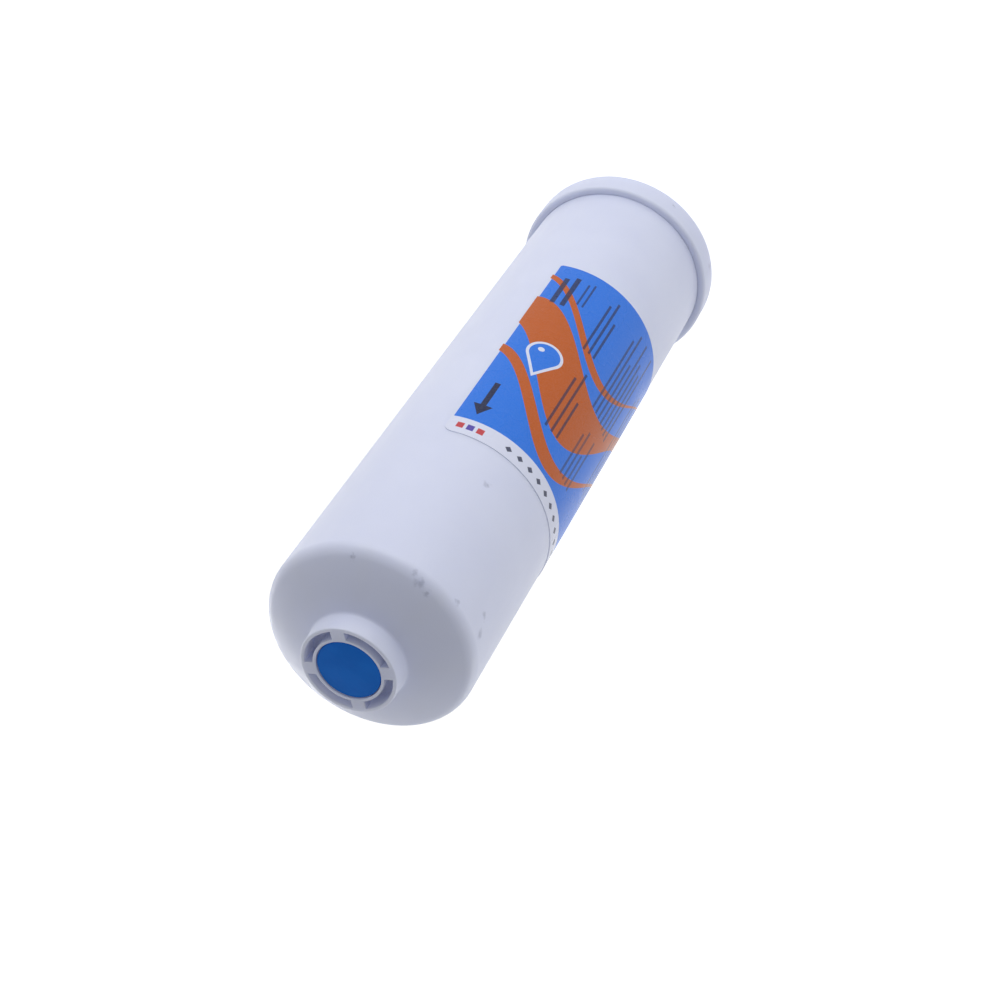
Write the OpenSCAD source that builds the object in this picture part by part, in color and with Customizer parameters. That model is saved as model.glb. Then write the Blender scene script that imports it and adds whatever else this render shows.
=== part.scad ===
// Inline deionization filter cartridge, standing on its inlet end.
// Z runs up the axis of the tube. The origin is the centre of the inlet boss's rim.

/* [Whole filter] */
// Length over the rims of both port bosses
overall_l = 256; // [220:1:330]
// Outside diameter of the tube
tube_od = 63.5; // [60:0.5:76]
// Wall of the tube and of both domes
wall = 2.6; // [2:0.1:3.4]

/* [Domed end] */
// Radius of the sphere that the shallow dome is part of
dome_crown_r = 60; // [50:1:90]
// Radius of the shoulder between the dome and the tube
shoulder_r = 5; // [4:0.5:8]

/* [End cap] */
// Radius of the sphere that the cap's dome is part of
cap_crown_r = 75; // [60:1:100]
// How far the collar stands out of the tube
collar_step = 2.65; // [2:0.05:4]
// Height of the collar's straight side
collar_h = 8.8; // [8:0.1:14]
// Radius of the collar's outer edge, next to the cap's dome
collar_edge_r = 2.5; // [1.5:0.1:3.5]
// Depth of the weld groove behind the collar's rim
groove_depth = 7.2; // [5:0.1:8]
// Play on each side of the tube's wall in the weld groove
weld_play = 0.15; // [0.1:0.05:0.3]
// Wall of the spigot that lines the tube's open end
spigot_wall = 2; // [1.5:0.1:3]
// Chamfer at the rims of the collar and the spigot
cap_chamfer = 0.5; // [0.2:0.1:0.8]

/* [Port bosses] */
// Outside diameter of a boss at its rim
boss_d = 29; // [28:0.1:34]
// Height of a boss above its root on the dome
boss_h = 6.9; // [5:0.1:10]
// How much a boss widens from rim to root, on each side
boss_draft = 0.2; // [0:0.05:0.5]
// Radius of the fillet between a boss and its dome
boss_fillet_r = 1; // [0.5:0.1:2]
// Radius of the edge of a boss's rim
boss_edge_r = 0.4; // [0.2:0.1:0.5]
// Wall of a boss outside its pockets
boss_wall = 1.2; // [1:0.1:1.8]
// Depth of the cored pockets
pocket_depth = 6.2; // [3:0.1:6.6]
// Number of pockets in a boss, with a rib between each two
pocket_count = 4; // [3:1:8]
// Width of the ribs between the pockets
pocket_rib_w = 4.2; // [2:0.1:5]

/* [Threaded sockets] */
// Outside diameter of a socket
socket_od = 21.4; // [20.8:0.1:22.4]
// Length of a socket from the rim of its boss
socket_l = 15.5; // [15:0.1:18]
// Bore of a socket, at the root of its pipe thread
thread_d = 13.6; // [13:0.1:15]
// Wall that closes the inner end of a socket, round its waterway
socket_floor = 2; // [1.5:0.1:3]
// Diameter of the waterway into the tube
waterway_d = 8; // [5:0.5:10]

/* [Plugs] */
// Diameter of a plug's flat head
plug_head_d = 19.1; // [17:0.1:19.4]
// Thickness of a plug's head
plug_head_t = 1.2; // [1:0.1:2]
// Depth of the head's face below the rim of the boss
plug_drop = 0.35; // [0.2:0.05:1]
// Play round a plug's head
plug_play = 0.25; // [0.2:0.05:0.5]
// Length of a plug's stem
plug_stem_l = 10.5; // [7:0.5:11]
// Diameter over the grip rings of a plug's stem
plug_grip_d = 11; // [10:0.1:11.4]
// Height of a grip ring above the stem
plug_grip_h = 0.5; // [0.3:0.1:0.8]
// Number of grip rings on a stem
plug_grips = 3; // [2:1:4]
// Wall of the hollow stem
plug_wall = 1.1; // [0.8:0.1:1.5]

/* [Inner pieces] */
// Height of the water space between a socket and its screen
plenum_h = 3; // [2.5:0.1:6]
// Thickness of the ribs that carry a screen
screen_rib_w = 1.6; // [1.2:0.1:2.5]
// Number of ribs that carry a screen
screen_ribs = 8; // [4:1:12]
// Thickness of a screen
screen_t = 2; // [1.5:0.1:3]
// Diameter of a hole in a screen
screen_hole_d = 3; // [2:0.1:4]
// Distance between the rings of holes in a screen
screen_pitch = 7; // [6:0.1:9]
// Thickness of a felt pad
pad_t = 3; // [2:0.1:6]
// Thickness of the foam pad
foam_t = 10; // [5:0.5:20]
// Play between the inner pieces and the wall round them
inner_play = 0.25; // [0.2:0.05:0.5]

/* [Label] */
// Height of the label along the tube
label_h = 104; // [60:1:120]
// Width of the label round the tube
label_w = 152; // [80:1:180]
// Distance from the rim of the outlet boss to the label
label_from_top = 74.8; // [40:0.1:90]
// Turn of the label's leading edge round the tube, in degrees
label_turn = 319.6; // [0:0.1:360]
// Thickness of the label's film
label_t = 0.15; // [0.1:0.05:0.3]
// Radius of the label's corners
label_corner_r = 3; // [1:0.5:6]
// Height of the unprinted strip nearest to the outlet
strip_h = 7.7; // [3:0.1:15]

/* [Print on the label] */
// Thickness of a printed field
ink_t = 0.1; // [0.05:0.05:0.2]
// Width of the bare edge round the printed field
print_margin = 0.6; // [0.3:0.1:3]
// Number of whole waves round the label
wave_count = 2; // [1:1:4]
// Rise of the waves, as a share of the printed field's height
wave_rise = 0.19; // [0.05:0.01:0.2]
// Turn of the waves along their length, in degrees
wave_turn = 290; // [0:5:360]
// Heights of the waves' middle lines, as shares of the printed field's height
wave_shares = [0.265, 0.5, 0.755];
// Greatest widths of the waves, as shares of the printed field's height
wave_widths = [0.05, 0.34, 0.08];
// Least width of a wave, as a share of its greatest width
wave_narrowing = 0.24; // [0.1:0.02:1]
// How far a wave's width runs ahead of its height, in degrees
wave_lead = 60; // [0:5:90]

/* [Hidden] */
$fn = 96;
// Overlap that joins solids of one moulding, and the overrun of every cut
lap = 0.1;
// Steps of the arcs in a dome's section, and of its small edges
arc_steps = 16;
small_arc_steps = 6;
// Steps of a strip round the tube
strip_steps = 64;
// Gap that keeps the film and each printed field off the curved face under it
skin_gap = 0.05;
// Turn of the first rib between the pockets, in degrees
rib_turn = 58;

tube_r = tube_od / 2;
bore_r = tube_r - wall;
collar_r = tube_r + collar_step;
boss_r = boss_d / 2;
boss_root_r = boss_r + boss_draft;
socket_r = socket_od / 2;
recess_depth = plug_drop + plug_head_t;

// Height of a sphere's top above the circle of radius r on it
function cap_height(crown, r) = crown - sqrt(crown * crown - r * r);
// Height of a dome with a rounded shoulder, from its straight wall to its top
function dome_rise(r, crown, shoulder) =
    crown - sqrt(pow(crown - shoulder, 2) - pow(r - shoulder, 2));
// Angle from the axis to the point where the dome's sphere meets its shoulder
function shoulder_angle(r, crown, shoulder) = asin((r - shoulder) / (crown - shoulder));
// Points along an arc round [x, y], from angle a to angle b
function arc(x, y, r, a, b, steps) =
    [for (i = [0 : steps]) let (t = a + (b - a) * i / steps) [x + r * cos(t), y + r * sin(t)]];
// Depth of the dome's top below the rim of the boss that stands on it
function boss_reach(crown) = boss_h - cap_height(crown, boss_root_r);

// Heights along the axis
dome_top_z = overall_l - boss_reach(dome_crown_r);
dome_z = dome_top_z - dome_rise(tube_r, dome_crown_r, shoulder_r);
collar_low_z = boss_reach(cap_crown_r) + dome_rise(collar_r, cap_crown_r, collar_edge_r);
collar_top_z = collar_low_z + collar_h;
groove_z = collar_top_z - groove_depth;
outlet_seat_z = overall_l - socket_l - plenum_h;
inlet_seat_z = socket_l + plenum_h;
spigot_top_z = inlet_seat_z + screen_t + pad_t;
bed_low_z = spigot_top_z + foam_t;
bed_top_z = outlet_seat_z - screen_t - pad_t;
spigot_r = bore_r - weld_play;
spigot_bore_r = spigot_r - spigot_wall;
label_top_z = overall_l - label_from_top;
label_low_z = label_top_z - label_h;
field_h = label_h - strip_h - print_margin;

// Area under a dome, from the plane at height -straight up to the dome, inset from its outside.
// The dome starts at height 0. It is drawn as half a section, with the axis on the left.
module dome_section(r, crown, shoulder, straight, inset) {
    a = shoulder_angle(r, crown, shoulder);
    rise = dome_rise(r, crown, shoulder);
    // A wall thicker than the shoulder's radius leaves a sharp corner inside
    corner = max(shoulder - inset, 0.05);
    polygon(concat(
        [[0, -straight], [r - inset, -straight]],
        arc(r - inset - corner, 0, corner, 0, 90 - a, small_arc_steps),
        arc(0, rise - crown, crown - inset, 90 - a, 90, arc_steps)
    ));
}

// A boss, its fillet on the dome and its socket, with the rim at height 0 and the dome below
module port_outside(crown) {
    // The fillet touches the boss's side and the dome's sphere
    centre_z = -boss_reach(crown) - crown;
    fillet_x = boss_root_r + boss_fillet_r;
    fillet_z = centre_z + sqrt(pow(crown + boss_fillet_r, 2) - pow(fillet_x, 2));
    touch_a = atan2(centre_z - fillet_z, -fillet_x);
    touch_z = fillet_z + boss_fillet_r * sin(touch_a);
    rotate_extrude() polygon(concat(
        [[0, 0]],
        arc(boss_r - boss_edge_r, -boss_edge_r, boss_edge_r, 90, 0, small_arc_steps),
        arc(fillet_x, fillet_z, boss_fillet_r, 180, 360 + touch_a, small_arc_steps),
        [[boss_root_r, touch_z - lap], [0, touch_z - lap]]
    ));
    translate([0, 0, -socket_l]) cylinder(h = socket_l, r = socket_r);
}

// What is cut out of a port: the pockets, the seat of the plug's head, the bore and the waterway
module port_cuts() {
    bore_depth = socket_l - socket_floor;
    translate([0, 0, -recess_depth]) cylinder(h = recess_depth + lap, d = plug_head_d + 2 * plug_play);
    translate([0, 0, -bore_depth]) cylinder(h = bore_depth, d = thread_d);
    translate([0, 0, -socket_l - lap]) cylinder(h = socket_l, d = waterway_d);
    difference() {
        translate([0, 0, -pocket_depth]) cylinder(h = pocket_depth + lap, r = boss_r - boss_wall);
        translate([0, 0, -pocket_depth - lap]) cylinder(h = pocket_depth + 3 * lap, r = socket_r);
        for (i = [0 : pocket_count - 1]) rotate([0, 0, rib_turn + i * 360 / pocket_count])
            translate([0, -pocket_rib_w / 2, -pocket_depth - lap])
                cube([boss_r, pocket_rib_w, pocket_depth + 3 * lap]);
    }
}

// Upright ribs round a socket, from height low to height high and out to radius r
module seat_ribs(low, high, r) {
    for (i = [0 : screen_ribs - 1]) rotate([0, 0, i * 360 / screen_ribs])
        translate([socket_r - 2 * lap, -screen_rib_w / 2, low])
            cube([r - socket_r + 2 * lap, screen_rib_w, high - low]);
}

// The tube, its dome and the outlet port, moulded in one
module canister_outside(inset, low_z) {
    translate([0, 0, dome_z]) rotate_extrude()
        dome_section(tube_r, dome_crown_r, shoulder_r, dome_z - low_z, inset);
}
module canister() color("white") difference() {
    union() {
        difference() {
            canister_outside(0, groove_z);
            canister_outside(wall, groove_z - lap);
        }
        translate([0, 0, overall_l]) port_outside(dome_crown_r);
        intersection() {
            seat_ribs(outlet_seat_z, overall_l, tube_r);
            canister_outside(wall / 2, outlet_seat_z);
        }
    }
    translate([0, 0, overall_l]) port_cuts();
}

// The cap: dome, collar, weld groove, spigot and the inlet port, moulded in one
module cap_outside(inset, top_z) {
    translate([0, 0, collar_low_z]) mirror([0, 0, 1]) rotate_extrude()
        dome_section(collar_r, cap_crown_r, collar_edge_r, top_z - collar_low_z, inset);
}
// Ring with a chamfered outer rim at its top, or with the chamfer inside
module chamfered_ring(inner_r, outer_r, low, high, inside) {
    rotate_extrude() polygon(concat(
        [[inner_r, low], [outer_r, low]],
        inside ? [[outer_r, high]] : [[outer_r, high - cap_chamfer], [outer_r - cap_chamfer, high]],
        inside ? [[inner_r + cap_chamfer, high], [inner_r, high - cap_chamfer]] : [[inner_r, high]]
    ));
}
module end_cap() color("white") difference() {
    union() {
        difference() {
            cap_outside(0, groove_z);
            intersection() {
                cap_outside(wall, groove_z + lap);
                cylinder(h = collar_top_z, r = spigot_bore_r);
            }
        }
        chamfered_ring(tube_r + weld_play, collar_r, groove_z - lap, collar_top_z, true);
        chamfered_ring(spigot_bore_r, spigot_r, groove_z - lap, spigot_top_z, false);
        mirror([0, 0, 1]) port_outside(cap_crown_r);
        intersection() {
            seat_ribs(0, inlet_seat_z, spigot_bore_r + spigot_wall / 2);
            cap_outside(wall / 2, inlet_seat_z);
        }
    }
    mirror([0, 0, 1]) port_cuts();
}

// Push-in plug, with its head's face at height 0 and its hollow stem below
module plug() {
    grip_r = plug_grip_d / 2;
    stem_r = grip_r - plug_grip_h;
    grip_pitch = plug_stem_l / (plug_grips + 1);
    face_edge = 0.3;
    rotate_extrude() polygon(concat(
        [[0, 0], [plug_head_d / 2 - face_edge, 0], [plug_head_d / 2, -face_edge],
         [plug_head_d / 2, -plug_head_t], [stem_r, -plug_head_t]],
        // Each ring has a flat side towards the head and a slope towards the tip
        [for (i = [1 : plug_grips]) let (z = -plug_head_t - i * grip_pitch)
            each [[stem_r, z + plug_grip_h], [grip_r, z + plug_grip_h], [grip_r, z], [stem_r, z - plug_grip_h]]],
        [[stem_r, -plug_head_t - plug_stem_l], [stem_r - plug_wall, -plug_head_t - plug_stem_l],
         [stem_r - plug_wall, -plug_head_t], [0, -plug_head_t]]
    ));
}
module outlet_plug() color([0.10, 0.34, 0.63]) translate([0, 0, overall_l - plug_drop]) plug();
module inlet_plug() color([0.10, 0.34, 0.63]) mirror([0, 0, 1]) translate([0, 0, -plug_drop]) plug();

// Round disc of an inner piece, between two heights
module inner_disc(wall_r, low, high) {
    translate([0, 0, low]) cylinder(h = high - low, r = wall_r - inner_play);
}
// Disc with rings of holes, six more in each ring than in the one inside it
module screen(wall_r, low) {
    rings = floor((wall_r - screen_hole_d) / screen_pitch);
    difference() {
        inner_disc(wall_r, low, low + screen_t);
        for (ring = [0 : rings]) for (i = [0 : max(6 * ring, 1) - 1])
            rotate([0, 0, i * 60 / max(ring, 1)]) translate([ring * screen_pitch, 0, low - lap])
                cylinder(h = screen_t + 2 * lap, d = screen_hole_d, $fn = 24);
    }
}
module outlet_screen() color("gainsboro") screen(bore_r, outlet_seat_z - screen_t);
module inlet_screen() color("gainsboro") screen(spigot_bore_r, inlet_seat_z);
module outlet_pad() color("ivory") inner_disc(bore_r, bed_top_z, bed_top_z + pad_t);
module inlet_pad() color("ivory") inner_disc(spigot_bore_r, spigot_top_z - pad_t, spigot_top_z);
module foam_pad() color("dimgray") inner_disc(bore_r, spigot_top_z, bed_low_z);
module resin_bed() color("peru") inner_disc(bore_r, bed_low_z, bed_top_z);

// The film, the printed field and the waves lie on each other round the tube
film_r = tube_r + skin_gap;
field_r = film_r + label_t + skin_gap;
waves_r = field_r + ink_t + skin_gap;
field_w = label_w - 2 * print_margin;
field_low_z = label_low_z + print_margin;

// Angle that a length takes up round the tube
function round_deg(length) = length / tube_r * 180 / PI;
// Thin closed strip round the tube. A column is [distance from the label's leading edge, low, high].
module wrapped_strip(r, t, columns) {
    points = [for (c = columns) let (a = label_turn - round_deg(c[0]))
        each [for (corner = [[r, c[1]], [r + t, c[1]], [r + t, c[2]], [r, c[2]]])
            [corner[0] * cos(a), corner[0] * sin(a), corner[1]]]];
    last = len(points) - 4;
    polyhedron(points, concat(
        [[3, 2, 1, 0], [last, last + 1, last + 2, last + 3]],
        [for (s = [0 : len(columns) - 2]) for (k = [0 : 3])
            [4 * s + k, 4 * s + (k + 1) % 4, 4 * s + 4 + (k + 1) % 4, 4 * s + 4 + k]]
    ));
}
// Columns of a sheet with rounded corners, from distance x on, w wide and h high
function sheet_columns(x, w, low, h, corner) = concat(
    [for (i = [0 : small_arc_steps]) let (t = 90 * i / small_arc_steps, inset = corner * (1 - sin(t)))
        [x + corner * (1 - cos(t)), low + inset, low + h - inset]],
    [for (i = [1 : strip_steps - 1]) [x + corner + (w - 2 * corner) * i / strip_steps, low, low + h]],
    [for (i = [0 : small_arc_steps]) let (t = 90 - 90 * i / small_arc_steps, inset = corner * (1 - sin(t)))
        [x + w - corner * (1 - cos(t)), low + inset, low + h - inset]]
);
module label() color("white")
    wrapped_strip(film_r, label_t, sheet_columns(0, label_w, label_low_z, label_h, label_corner_r));
module label_field() color([0.24, 0.47, 0.86])
    wrapped_strip(field_r, ink_t,
                  sheet_columns(print_margin, field_w, field_low_z, field_h, label_corner_r - print_margin));

// Columns of a wave, whose height and width both swing as it runs round the field
function wave_columns(i) = [for (s = [0 : strip_steps]) let (
    turn = wave_turn + 360 * wave_count * s / strip_steps,
    middle = field_low_z + field_h * (wave_shares[i] + wave_rise * sin(turn)),
    swell = (1 + wave_narrowing + (1 - wave_narrowing) * sin(turn + wave_lead)) / 2,
    half = field_h * wave_widths[i] * swell / 2)
    [print_margin + field_w * s / strip_steps, middle - half, middle + half]];
module label_waves() color([0.80, 0.42, 0.16])
    for (i = [0 : len(wave_shares) - 1]) wrapped_strip(waves_r, ink_t, wave_columns(i));

canister();
end_cap();
outlet_plug();
inlet_plug();
resin_bed();
outlet_screen();
outlet_pad();
foam_pad();
inlet_pad();
inlet_screen();
label();
label_field();
label_waves();
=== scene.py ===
# %% [markdown]
# Inline deionization filter.
# The real filter is a white moulded tube, full of resin beads, with a port at each end and a wrapped
# label. It stands here on its inlet end, with the domed outlet end up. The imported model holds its
# construction. This lesson gives that construction its looks: smooth mouldings, threads in the ports,
# a printed film and a finish for every piece.

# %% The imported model
import math

import bmesh
import bpy
from mathutils import Matrix, Vector


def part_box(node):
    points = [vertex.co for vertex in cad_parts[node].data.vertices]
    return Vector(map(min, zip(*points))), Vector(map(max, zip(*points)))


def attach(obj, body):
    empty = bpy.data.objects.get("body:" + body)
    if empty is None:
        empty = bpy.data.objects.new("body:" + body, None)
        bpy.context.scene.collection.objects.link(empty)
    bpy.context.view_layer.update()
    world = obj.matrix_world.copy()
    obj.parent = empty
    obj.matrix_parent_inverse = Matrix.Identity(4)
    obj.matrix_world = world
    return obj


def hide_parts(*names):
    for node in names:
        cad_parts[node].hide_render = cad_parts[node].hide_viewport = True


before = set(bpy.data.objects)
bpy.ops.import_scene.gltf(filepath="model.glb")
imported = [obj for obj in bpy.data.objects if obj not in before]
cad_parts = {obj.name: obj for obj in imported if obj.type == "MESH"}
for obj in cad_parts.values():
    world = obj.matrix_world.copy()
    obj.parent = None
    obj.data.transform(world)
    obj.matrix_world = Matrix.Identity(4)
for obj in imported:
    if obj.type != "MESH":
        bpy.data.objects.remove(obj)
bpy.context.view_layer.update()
print("nodes:", ", ".join(sorted(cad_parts)))

# %% [markdown]
# The camera comes first, because it decides what the picture shows. The photograph looks down on the
# outlet end at about 49 degrees, with the camera rolled so far that the outlet lies at the lower left.
# A camera could be placed by hand in the viewport. Here it is given as a designer would say it: the
# point that it looks at, how far off it is, its azimuth, its elevation and its roll. Those numbers come
# from fitting a camera to the outline of the tube and to the two ends in the photograph.

# %% Camera
mm = 0.001
view_point = Vector((-9.1, -3.3, 162.1)) * mm
view_distance = 607 * mm
view_azimuth = math.radians(20)
view_elevation = math.radians(48.9)
view_roll = math.radians(147.3)
view_lens = 70.74
view_nearest = 10 * mm

camera_data = bpy.data.cameras.new("camera")
camera_data.lens = view_lens
camera_data.clip_start = view_nearest
camera = bpy.data.objects.new("camera", camera_data)
bpy.context.scene.collection.objects.link(camera)
bpy.context.scene.camera = camera
bpy.context.scene.view_settings.view_transform = "Standard"
backwards = Vector((
    math.sin(view_azimuth) * math.cos(view_elevation),
    -math.cos(view_azimuth) * math.cos(view_elevation),
    math.sin(view_elevation),
))
level = (-backwards).to_track_quat("-Z", "Y").to_matrix()
rolled = level @ Matrix.Rotation(-view_roll, 3, "Z")
camera.matrix_world = Matrix.Translation(view_point + backwards * view_distance) @ rolled.to_4x4()
print("camera at", [round(x, 3) for x in camera.matrix_world.translation])

# %% [markdown]
# Shader maths is easier to read as expressions than as a drawing of boxes and lines. So before the
# first material come two small classes. A Wire is the output of a node, and adding or multiplying wires
# adds the Math nodes for it. A Recipe is the node tree of one material, with one method that adds any
# other kind of node.

# %% Shader maths as expressions
# Blender's noise seldom leaves this range, which is stretched to run from 0 to 1
noise_low = 0.3
noise_high = 0.7


class Wire:
    """The output of a shader node, which can be used like a number."""

    def __init__(self, recipe, socket):
        self.recipe = recipe
        self.socket = socket

    def maths(self, operation, *values):
        return self.recipe.node("ShaderNodeMath", {"operation": operation}, dict(enumerate(values)))

    def __add__(self, other):
        return self.maths("ADD", self, other)

    def __sub__(self, other):
        return self.maths("SUBTRACT", self, other)

    def __mul__(self, other):
        return self.maths("MULTIPLY", self, other)

    def __rsub__(self, other):
        return self.maths("SUBTRACT", other, self)

    def __mod__(self, other):
        return self.maths("FLOORED_MODULO", self, other)

    def __pow__(self, other):
        return self.maths("POWER", self, other)

    def __abs__(self):
        return self.maths("ABSOLUTE", self)

    def sine(self):
        return self.maths("SINE", self)

    def least(self, other):
        return self.maths("MINIMUM", self, other)

    def most(self, other):
        return self.maths("MAXIMUM", self, other)

    def between(self, low, high):
        """0 up to low, 1 from high on, and smooth between them."""
        settings = {"interpolation_type": "SMOOTHSTEP"}
        values = {"Value": self, "From Min": low, "From Max": high}
        return self.recipe.node("ShaderNodeMapRange", settings, values)

    __radd__ = __add__
    __rmul__ = __mul__


class Recipe:
    """A node tree that is written as text."""

    def __init__(self, tree):
        self.tree = tree

    def node(self, kind, settings=None, values=None, output=0):
        """Adds a node, with its settings first and then its values, and returns one of its outputs."""
        added = self.tree.nodes.new(kind)
        for name, setting in (settings or {}).items():
            setattr(added, name, setting)
        for name, value in (values or {}).items():
            if isinstance(value, Wire):
                self.tree.links.new(value.socket, added.inputs[name])
            else:
                added.inputs[name].default_value = value
        return Wire(self, added.outputs[output]) if added.outputs else None

    def blend(self, factor, first, second):
        """Goes from the first colour to the second as the factor goes from 0 to 1."""
        mixed = self.tree.nodes.new("ShaderNodeMix")
        mixed.data_type = "RGBA"
        sockets = [s for s in mixed.inputs if s.enabled]
        for socket, value in zip(sockets, (factor, first, second)):
            if isinstance(value, Wire):
                self.tree.links.new(value.socket, socket)
            else:
                socket.default_value = value
        return Wire(self, next(s for s in mixed.outputs if s.enabled))

    def grain(self, place, size, detail=2.0):
        """Noise between 0 and 1, with features of a size in millimetres."""
        values = {"Vector": place, "Scale": 1 / (size * mm), "Detail": detail}
        return self.node("ShaderNodeTexNoise", None, values, "Fac").between(noise_low, noise_high)

    def stretch(self, place, x, y, z):
        """The place with its pattern made longer along each axis by a factor."""
        return self.node("ShaderNodeMapping", None, {"Vector": place, "Scale": (1 / x, 1 / y, 1 / z)})

    def bump(self, height, depth):
        """A bumped normal, from a height of 0 to 1 that stands for a depth in millimetres."""
        return self.node("ShaderNodeBump", None, {"Height": height, "Distance": depth * mm})


# %% [markdown]
# The light is that of a white studio sweep: soft, dim from overhead and brighter from low down, which is
# why the domed end is greyer than the tube in the photograph. Lamps could do all of it. A dim sky that
# grows brighter low down behind the filter is softer and has no noise, so it gives the light from above,
# and three low lamps add the rest. What looks straight at the sky sees plain white.

# %% Sky
white = (1, 1, 1, 1)
sky_behind = 1.2
sky_overhead = 0.39
sky_falloff = 3

world = bpy.data.worlds.new("sky")
bpy.context.scene.world = world
world.use_nodes = True
world.node_tree.nodes.clear()
sky = Recipe(world.node_tree)


def seen_directly(recipe):
    """1 for what the camera, a reflection or a view through glass sees."""
    rays = ("Is Camera Ray", "Is Glossy Ray", "Is Transmission Ray")
    seen = [recipe.node("ShaderNodeLightPath", output=ray) for ray in rays]
    return (seen[0] + seen[1] + seen[2]).least(1)


direction = sky.node("ShaderNodeTexCoord", output="Generated")
height = sky.node("ShaderNodeSeparateXYZ", None, {0: direction}, "Z")
behind = sky.node("ShaderNodeSeparateXYZ", None, {0: direction}, "Y")
low_down = (1 - height.most(0)) ** sky_falloff
strength = sky_overhead + sky_behind * low_down * behind.most(0)
direct = seen_directly(sky)
strength = direct + (1 - direct) * strength
backdrop = sky.node("ShaderNodeBackground", None, {"Color": white, "Strength": strength})
sky.node("ShaderNodeOutputWorld", None, {"Surface": backdrop})
print("sky:", sky_behind, "behind and", sky_overhead, "overhead")

# %% Lamps
lamp_aim = Vector((0, 0, 0.13))
lamp_width = 0.6
lamps = (
    # name, azimuth, watts, distance, height above the floor and how tall it is
    ("key_lamp", -42, 1.08, 0.55, 0.08, 0.14),
    ("back_lamp", 90, 1.3, 0.8, 0.10, 0.18),
    ("side_lamp", 180, 0.9, 0.8, 0.10, 0.18),
)


def add_lamp(name, azimuth, watts, distance, height, tall):
    """Adds a wide lamp that faces the filter from low down. The camera doesn't see it."""
    data = bpy.data.lights.new(name, "AREA")
    data.shape = "RECTANGLE"
    data.size = lamp_width
    data.size_y = tall
    data.energy = watts
    lamp = bpy.data.objects.new(name, data)
    bpy.context.scene.collection.objects.link(lamp)
    turn = math.radians(azimuth)
    lamp.location = (distance * math.cos(turn), distance * math.sin(turn), height)
    aim = lamp_aim - lamp.location
    lamp.rotation_mode = "QUATERNION"
    lamp.rotation_quaternion = aim.to_track_quat("-Z", "Y")
    lamp.visible_camera = False


for lamp in lamps:
    add_lamp(*lamp)
print("lamps:", ", ".join(lamp[0] for lamp in lamps))

# %% [markdown]
# The floor is where the filter stands. It shows as white, as the sky does, but it still takes the
# filter's shadow, so it has two parts: a pale matt surface that is lit as everything is, and a steady
# glow. Direct looks see the whole glow, and the filter gets a little of it from below. The floor is clear
# when it is looked at from underneath, so that the inlet end can be seen too.

# %% Floor
floor_r = 6
floor_sides = 64
floor_grey = (0.85, 0.85, 0.86, 1)
floor_glow = 0.70
floor_lit = 0.30
bpy.ops.object.select_all(action="DESELECT")
bpy.ops.mesh.primitive_circle_add(vertices=floor_sides, radius=floor_r, fill_type="NGON")
floor = bpy.context.object
floor.name = "floor"

floor_material = bpy.data.materials.new("floor")
floor_material.use_nodes = True
floor_material.node_tree.nodes.clear()
ground = Recipe(floor_material.node_tree)
matt = ground.node("ShaderNodeBsdfDiffuse", None, {"Color": floor_grey})
strength = floor_lit + (floor_glow - floor_lit) * seen_directly(ground)
glow = ground.node("ShaderNodeEmission", None, {"Color": white, "Strength": strength})
both = ground.node("ShaderNodeAddShader", None, {0: matt, 1: glow})
underneath = ground.node("ShaderNodeNewGeometry", output="Backfacing")
clear = ground.node("ShaderNodeBsdfTransparent")
shown = ground.node("ShaderNodeMixShader", None, {0: underneath, 1: both, 2: clear})
ground.node("ShaderNodeOutputMaterial", None, {"Surface": shown})
floor.data.materials.append(floor_material)
print("floor:", floor.name)

# %% [markdown]
# All the mouldings of this filter are round, so they are modelled as a potter would: half a section is
# drawn point by point, and spun round the axis. A cylinder could be cut and scaled instead, but a drawn
# section gives the true wall, with its fillets and its threads' seat, in one go. The helpers below draw
# an outline, spin it and select parts of the mesh by where they are.

# %% Helpers for outlines
# Places closer than this count as one place
touching = 0.01 * mm


def arc(centre, radius, start, end, steps):
    """Points along an arc from one angle to another, in degrees."""
    angles = [math.radians(start + (end - start) * i / steps) for i in range(steps + 1)]
    return [(centre[0] + radius * math.cos(a), centre[1] + radius * math.sin(a)) for a in angles]


def draw_outline(name, points):
    """Draws an outline in the XZ plane, point by point, from millimetres. It stays in edit mode."""
    bpy.ops.object.select_all(action="DESELECT")
    bpy.ops.mesh.primitive_plane_add(size=mm, location=(points[0][0] * mm, 0, points[0][1] * mm))
    piece = bpy.context.object
    piece.name = name
    bpy.ops.object.transform_apply(location=True, rotation=False, scale=False)
    bpy.ops.object.mode_set(mode="EDIT")
    bpy.context.tool_settings.mesh_select_mode = (True, False, False)
    bpy.ops.mesh.select_all(action="SELECT")
    bpy.ops.mesh.merge(type="CENTER")
    for (x, z), (next_x, next_z) in zip(points, points[1:]):
        step = ((next_x - x) * mm, 0, (next_z - z) * mm)
        bpy.ops.mesh.extrude_vertices_move(TRANSFORM_OT_translate={"value": step})
    return piece


def choose(kind, test):
    """Selects the vertices, edges or faces that pass a test, in edit mode, and counts them."""
    kinds = ("VERT", "EDGE", "FACE")
    bpy.context.tool_settings.mesh_select_mode = tuple(k == kind for k in kinds)
    mesh = bmesh.from_edit_mesh(bpy.context.object.data)
    mesh.normal_update()
    bpy.ops.mesh.select_all(action="DESELECT")
    parts = {"VERT": mesh.verts, "EDGE": mesh.edges, "FACE": mesh.faces}[kind]
    chosen = [part for part in parts if test(part)]
    for part in chosen:
        part.select_set(True)
    mesh.select_flush_mode()
    bmesh.update_edit_mesh(bpy.context.object.data)
    return len(chosen)


def close_outline(points):
    """Joins the last point of an outline to its first."""
    ends = [Vector((x * mm, 0, z * mm)) for x, z in (points[0], points[-1])]
    choose("VERT", lambda v: min((v.co - end).length for end in ends) < touching)
    bpy.ops.mesh.edge_face_add()


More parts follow.
